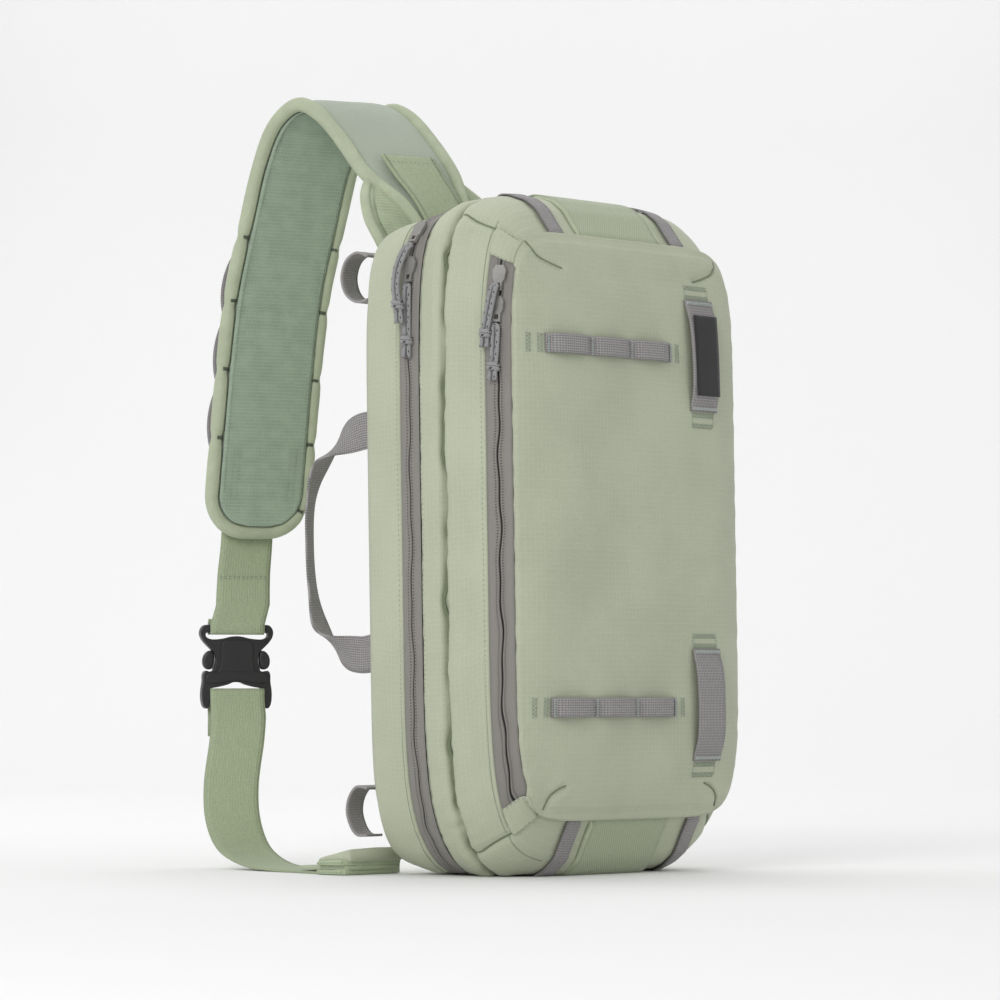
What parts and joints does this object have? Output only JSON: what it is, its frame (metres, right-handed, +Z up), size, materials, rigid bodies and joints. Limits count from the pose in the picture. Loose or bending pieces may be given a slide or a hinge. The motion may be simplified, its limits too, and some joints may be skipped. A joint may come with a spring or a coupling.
{
  "type": "fishing tackle sling bag",
  "caption": "Upright sling pack in sage cloth with a padded shoulder strap, side-release buckle, zippers and webbing loops.",
  "frame": {"origin": "middle of the flat underside of the bottom band, on the ground", "axes": "+Z up, front panel faces -Y, zipped side faces -X, back panel and shoulder strap towards +Y"},
  "size_m": [0.2664, 0.3269, 0.5302],
  "materials": {
    "sage_ripstop": "matte ripstop cloth",
    "zipper_tape": "matte woven tape with a fine coil",
    "knit_band": "matte ribbed knit",
    "grey_webbing": "matte woven webbing",
    "green_webbing": "matte woven webbing",
    "strap_lining": "matte grid cloth",
    "green_binding": "matte binding",
    "black_label": "matte woven label, plain",
    "black_plastic": "satin moulded plastic",
    "slider_metal": "satin painted metal",
    "pull_cord": "matte braided cord with dark flecks"
  },
  "bodies": {
    "root": {"back_panel": "sage_ripstop", "bottom_band": "knit_band", "bottom_rear_loop": "grey_webbing", "bottom_webbing_left": "grey_webbing", "bottom_webbing_right": "grey_webbing", "buckle_female": "black_plastic", "buckle_male": "black_plastic", "carry_handle": "grey_webbing", "corner_wing": "sage_ripstop", "front_panel": "sage_ripstop", "front_pull_lower": "pull_cord", "front_pull_upper": "pull_cord", "front_slider_lower": "slider_metal", "front_slider_upper": "slider_metal", "front_zip_tab_bottom": "sage_ripstop", "front_zip_tab_top": "sage_ripstop", "front_zipper": "zipper_tape", "lower_daisy_chain": "grey_webbing", "lower_strap_webbing": "green_webbing", "lower_vertical_loop": "grey_webbing", "main_pull_lower": "pull_cord", "main_pull_upper": "pull_cord", "main_slider_lower": "slider_metal", "main_slider_upper": "slider_metal", "main_zipper": "zipper_tape", "middle_gusset": "sage_ripstop", "plain_label": "black_label", "pocket_gusset": "sage_ripstop", "rear_gusset": "sage_ripstop", "side_gusset": "sage_ripstop", "side_pocket": "sage_ripstop", "strap_anchor": "green_webbing", "strap_base": "green_binding", "strap_binding": "green_binding", "strap_daisy_chain": "grey_webbing", "strap_lining": "strap_lining", "strap_pad": "sage_ripstop", "top_band": "knit_band", "top_rear_loop": "grey_webbing", "top_webbing_left": "grey_webbing", "top_webbing_right": "grey_webbing", "upper_daisy_chain": "grey_webbing", "upper_strap_webbing": "green_webbing", "upper_vertical_loop": "grey_webbing", "webbing_sleeve": "green_binding"}
  },
  "joints": []
}
